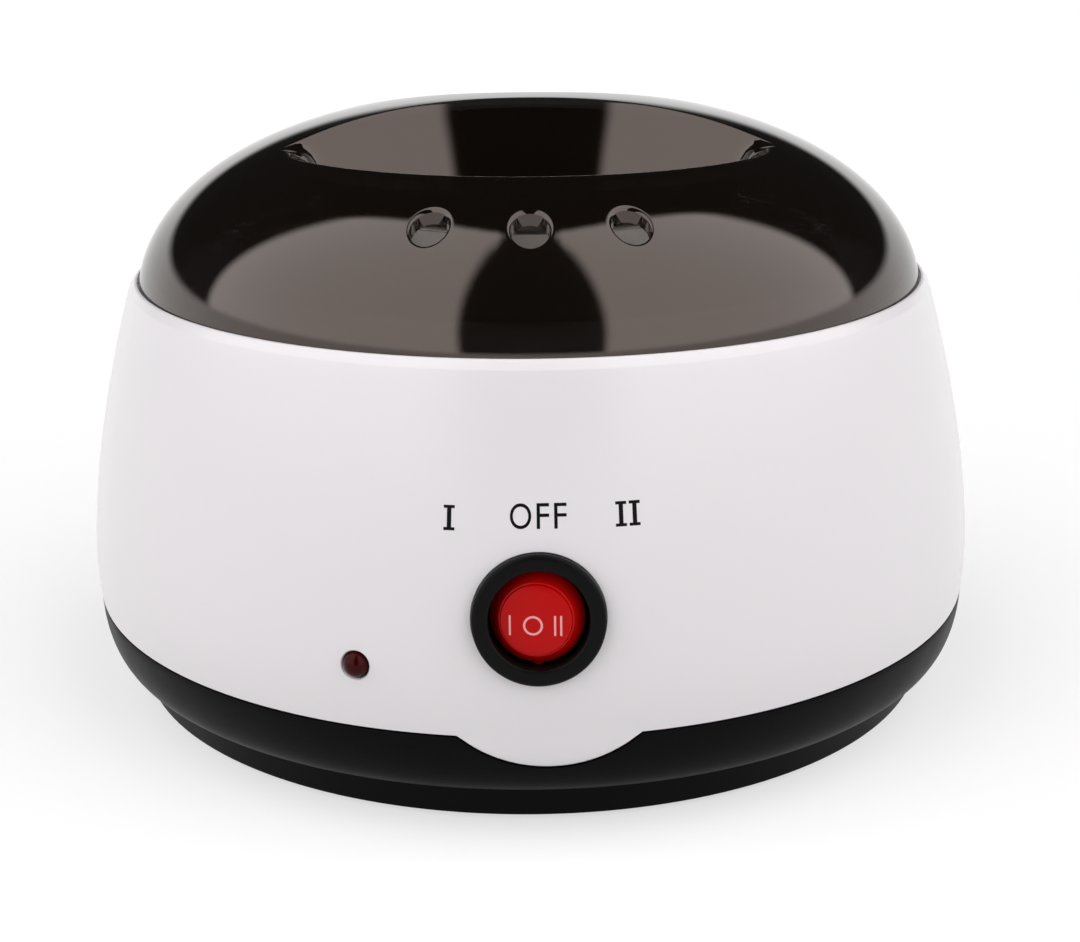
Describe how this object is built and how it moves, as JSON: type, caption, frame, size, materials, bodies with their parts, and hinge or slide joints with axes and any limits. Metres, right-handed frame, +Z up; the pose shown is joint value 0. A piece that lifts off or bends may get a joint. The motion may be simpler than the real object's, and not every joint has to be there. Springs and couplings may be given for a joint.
{
  "type": "wax heater",
  "caption": "Round table-top warmer for a lift-out pot of depilatory wax, with a smoked dome lid, a rocker switch and an indicator lamp.",
  "frame": {"origin": "on the table, under the centre of the heater", "axes": "+Z up, -Y towards the front with the switch and the lamp, +X to the right seen from the front"},
  "size_m": [0.1806, 0.184, 0.1164],
  "materials": {
    "housing_white": "gloss moulded",
    "tray_black": "satin moulded",
    "lid_smoke": "polished, smoked translucent",
    "switch_black": "fine spark texture",
    "rocker_red": "translucent gloss",
    "lamp_red": "clear tinted",
    "pot_aluminium": "spun satin",
    "well_aluminium": "spun",
    "handle_steel": "bright drawn wire",
    "screw_steel": "zinc plated",
    "heater_mica": "mica band in a steel jacket",
    "thermostat_black": "moulded",
    "spacer_ceramic": "unglazed ceramic",
    "holder_black": "moulded",
    "foot_rubber": "matt rubber"
  },
  "bodies": {
    "heater": {"housing": "housing_white", "base": "tray_black", "rubber_foot_1": "foot_rubber", "rubber_foot_2": "foot_rubber", "rubber_foot_3": "foot_rubber", "rubber_foot_4": "foot_rubber", "base_screw_1": "screw_steel", "base_screw_2": "screw_steel", "base_screw_3": "screw_steel", "base_screw_4": "screw_steel", "heating_well": "well_aluminium", "well_spacer_1": "spacer_ceramic", "well_spacer_2": "spacer_ceramic", "well_spacer_3": "spacer_ceramic", "well_screw_1": "screw_steel", "well_screw_2": "screw_steel", "well_screw_3": "screw_steel", "heater_band": "heater_mica", "band_screw": "screw_steel", "band_nut": "screw_steel", "thermostat": "thermostat_black", "thermostat_bracket": "screw_steel", "bracket_nut_1": "screw_steel", "bracket_nut_2": "screw_steel", "thermal_fuse": "well_aluminium", "fuse_strap": "screw_steel", "strap_nut": "screw_steel", "switch_body": "switch_black", "switch_terminal_left": "handle_steel", "switch_terminal_middle": "handle_steel", "switch_terminal_right": "handle_steel", "indicator_lamp": "lamp_red", "lamp_holder": "holder_black", "cord_gland": "foot_rubber"},
    "pot": {"wax_pot": "pot_aluminium", "pot_ear_right": "handle_steel", "pot_ear_left": "handle_steel", "ear_rivet_right": "handle_steel", "ear_rivet_left": "handle_steel"},
    "handle": {"pot_handle": "handle_steel"},
    "lid": {"lid": "lid_smoke"},
    "rocker": {"switch_rocker": "rocker_red"}
  },
  "joints": [
    {"name": "pot_lift", "type": "slide", "parent": "heater", "child": "pot", "axis": [0, 0, 1], "range_m": [0, 0.075]},
    {"name": "lid_lift", "type": "slide", "parent": "pot", "child": "lid", "axis": [0, 0, 1], "range_m": [0, 0.11]},
    {"name": "handle_swing", "type": "hinge", "parent": "pot", "child": "handle", "pos_m": [0, 0, 0.0889], "axis": [1, 0, 0], "range_deg": [0, 90]},
    {"name": "rocker_tilt", "type": "hinge", "parent": "heater", "child": "rocker", "pos_m": [0, -0.08519, 0.04048], "axis": [0, 0.1285, 0.9917], "range_deg": [0, 12]}
  ],
  "couplings": [
    {"joint": "handle_swing", "follows": "lid_lift", "rad_per_m": 14.27}
  ]
}
